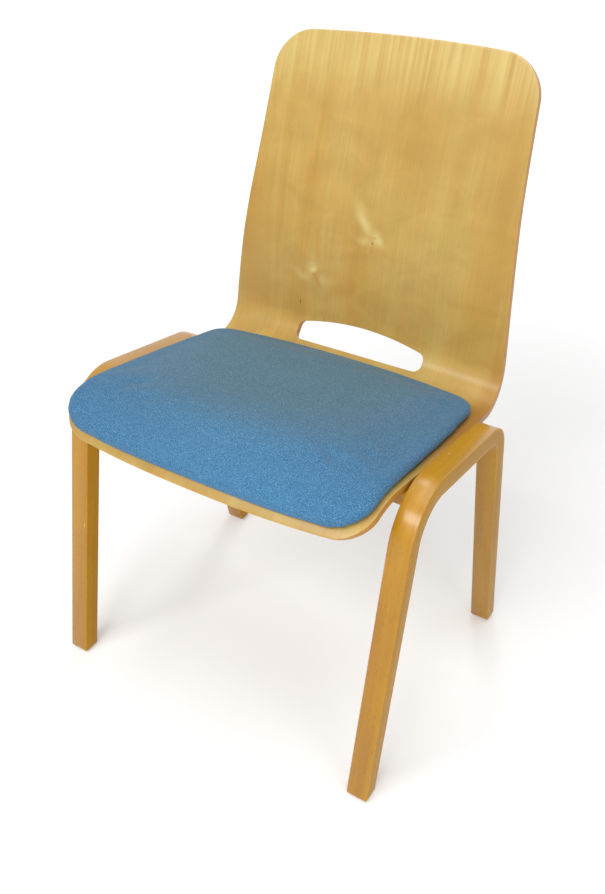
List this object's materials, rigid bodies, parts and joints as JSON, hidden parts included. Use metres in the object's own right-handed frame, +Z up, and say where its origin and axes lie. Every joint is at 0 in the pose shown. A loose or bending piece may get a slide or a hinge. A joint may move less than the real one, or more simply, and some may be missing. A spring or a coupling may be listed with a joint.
{
  "type": "conference chair",
  "caption": "Armless conference chair: moulded plywood seat and back with a hand slot, bent laminate side frames, thin upholstered seat pad.",
  "frame": {"origin": "on the floor under the middle of the chair's bounding box", "axes": "+Z up, the sitter faces -Y, +X to the sitter's left, symmetric about X = 0"},
  "size_m": [0.526, 0.4979, 0.8581],
  "materials": {
    "shell_wood": "clear lacquered birch veneer",
    "frame_wood": "clear lacquered laminated beech",
    "rail_wood": "clear lacquered beech",
    "dowel_wood": "plain beech",
    "board_wood": "raw plywood",
    "pad_fabric": "blue woven wool",
    "pad_foam": "open foam",
    "bolt_steel": "zinc plated",
    "spacer_rubber": "matt",
    "glide_plastic": "matt"
  },
  "bodies": {
    "root": {"seat_back_shell": "shell_wood", "left_side_frame": "frame_wood", "right_side_frame": "frame_wood", "front_cross_rail": "rail_wood", "rear_cross_rail": "rail_wood", "front_rail_dowels": "dowel_wood", "rear_rail_dowels": "dowel_wood", "shell_spacers": "spacer_rubber", "shell_bolts": "bolt_steel", "shell_washers": "bolt_steel", "shell_nuts": "bolt_steel", "pad_board": "board_wood", "pad_foam": "pad_foam", "pad_cover": "pad_fabric", "pad_screws": "bolt_steel", "pad_nuts": "bolt_steel", "foot_glides": "glide_plastic", "glide_pins": "bolt_steel"}
  },
  "joints": []
}
